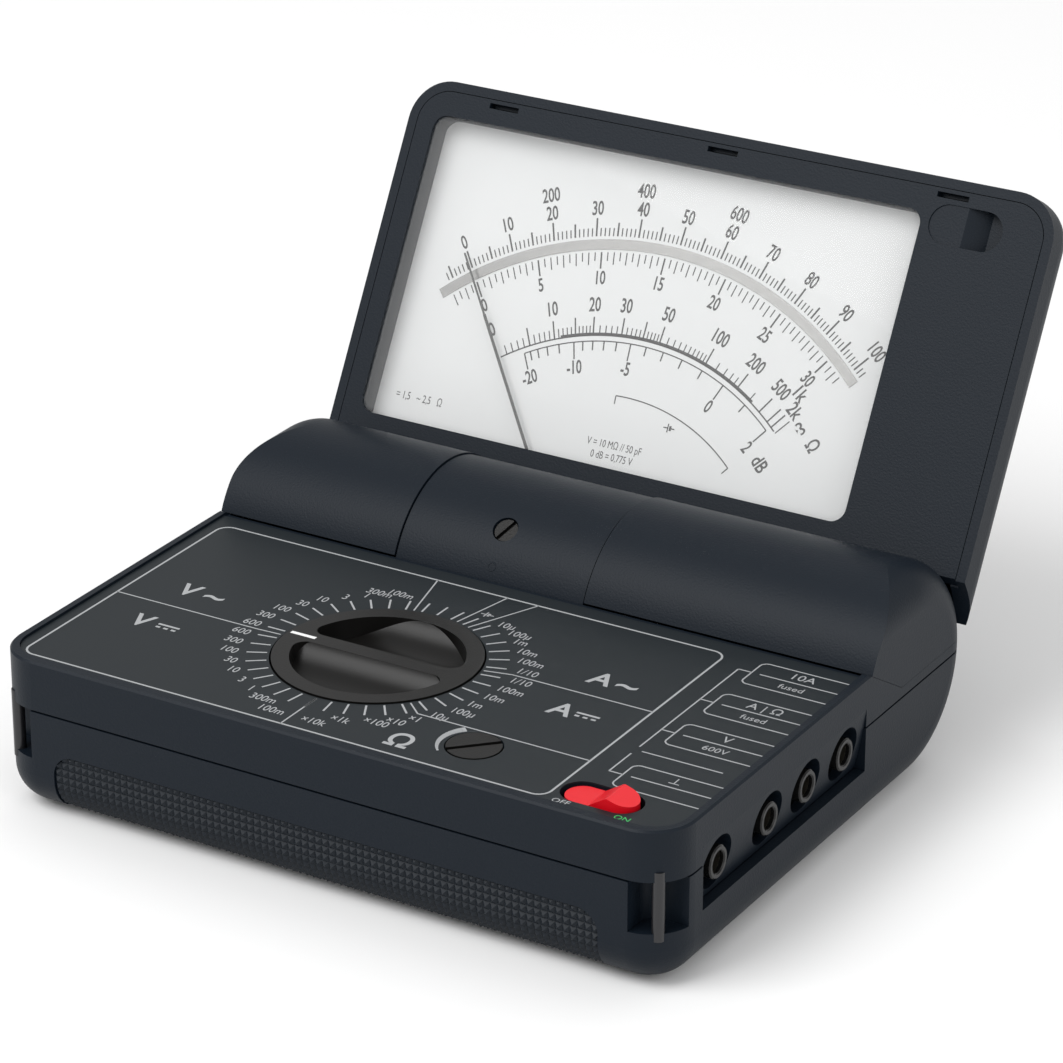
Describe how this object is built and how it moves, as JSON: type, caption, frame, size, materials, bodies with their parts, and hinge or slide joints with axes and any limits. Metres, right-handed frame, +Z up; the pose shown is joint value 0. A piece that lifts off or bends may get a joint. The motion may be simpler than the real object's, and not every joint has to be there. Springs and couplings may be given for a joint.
{
  "type": "analog multimeter",
  "caption": "Folding-case analog multimeter: hinged lid with needle dial, flush range knob, ohm adjuster, red power rocker and side safety jacks.",
  "frame": {"origin": "middle of the footprint with the lid at its rest angle, at the height of the feet", "axes": "+X to the jack side, +Y to the rear (towards the lid), +Z up"},
  "size_m": [0.146, 0.1596, 0.1014],
  "materials": {
    "case_plastic": "fine texture",
    "grip_rubber": "matt",
    "panel_print": "printed foil",
    "knob_plastic": "satin",
    "white_mark": "satin",
    "rocker_red": "gloss",
    "jack_plastic": "satin",
    "contact_brass": "plated",
    "steel": "satin",
    "bush_plastic": "satin",
    "board_laminate": "satin",
    "battery_wrap": "gloss",
    "fuse_glass": "clear",
    "fuse_ceramic": "satin",
    "window_clear": "clear",
    "dial_white": "matt print",
    "mirror_face": "mirror",
    "movement_iron": "satin",
    "movement_metal": "satin",
    "pointer_black": "matt"
  },
  "bodies": {
    "base": {"battery_1": "battery_wrap", "battery_2": "battery_wrap", "battery_contacts": "steel", "case_screws": "steel", "detent_ball": "steel", "detent_block": "bush_plastic", "front_grip": "grip_rubber", "fuse_clips": "contact_brass", "fuse_large": "fuse_ceramic", "fuse_small": "fuse_glass", "hinge_bush_left": "bush_plastic", "hinge_bush_right": "bush_plastic", "hinge_cover_left": "case_plastic", "hinge_cover_right": "case_plastic", "jack_carrier": "jack_plastic", "jack_contact_1": "contact_brass", "jack_contact_2": "contact_brass", "jack_contact_3": "contact_brass", "jack_contact_4": "contact_brass", "jack_insulator_1": "jack_plastic", "jack_insulator_2": "jack_plastic", "jack_insulator_3": "jack_plastic", "jack_insulator_4": "jack_plastic", "lower_case": "case_plastic", "main_board": "board_laminate", "ohm_potentiometer": "bush_plastic", "panel_foil": "panel_print", "rocker_base": "bush_plastic", "rubber_feet": "grip_rubber", "strap_bar_left": "steel", "strap_bar_right": "steel", "upper_case": "case_plastic"},
    "lid": {"lid_shell": "case_plastic", "lid_frame": "case_plastic", "window": "window_clear", "dial_plate": "dial_white", "mirror_strip": "mirror_face", "dial_screws": "steel", "barrel_body": "case_plastic", "barrel_cover": "case_plastic", "hinge_pin_left": "steel", "hinge_pin_right": "steel", "movement_yoke": "movement_iron", "movement_magnets": "movement_iron", "movement_core": "movement_iron", "bridge_upper": "movement_metal", "bridge_lower": "movement_metal", "lid_screws": "steel"},
    "pointer": {"pointer": "pointer_black", "moving_coil": "movement_metal", "hairsprings": "movement_metal"},
    "zero_screw": {"zero_adjust_screw": "knob_plastic"},
    "range_switch": {"range_knob": "knob_plastic", "knob_mark": "white_mark", "switch_rotor": "bush_plastic", "wiper_contacts": "contact_brass"},
    "ohm_adjust": {"ohm_knob": "knob_plastic"},
    "rocker": {"power_rocker": "rocker_red"},
    "battery_door": {"battery_cover": "case_plastic", "battery_cover_screw": "steel"}
  },
  "joints": [
    {"name": "lid_hinge", "type": "hinge", "parent": "base", "child": "lid", "pos_m": [0, 0.01623, 0.0226], "axis": [1, 0, 0], "range_deg": [-15.6, 119.4]},
    {"name": "pointer_swing", "type": "hinge", "parent": "lid", "child": "pointer", "pos_m": [-0.01045, 0.01623, 0.0226], "axis": [0, 0.8712, -0.4909], "range_deg": [-5, 78], "stiffness_Nm_per_rad": 0.0006},
    {"name": "zero_adjust_turn", "type": "hinge", "parent": "lid", "child": "zero_screw", "pos_m": [-0.01045, 0.01623, 0.0226], "axis": [0, -0.6211, 0.7837], "range_deg": [-180, 180]},
    {"name": "range_switch_turn", "type": "hinge", "parent": "base", "child": "range_switch", "pos_m": [-0.0102, -0.04357, 0.0296], "axis": [0, 0, 1], "range_deg": [-180, 180]},
    {"name": "ohm_adjust_turn", "type": "hinge", "parent": "base", "child": "ohm_adjust", "pos_m": [0.0246, -0.06577, 0.0296], "axis": [0, 0, 1], "range_deg": [-150, 150]},
    {"name": "power_rocker_tilt", "type": "hinge", "parent": "base", "child": "rocker", "pos_m": [0.0543, -0.07107, 0.0278], "axis": [0, 1, 0], "range_deg": [0, 9]},
    {"name": "battery_door_lift", "type": "slide", "parent": "base", "child": "battery_door", "axis": [0, 0, -1], "range_m": [0, 0.02]}
  ]
}
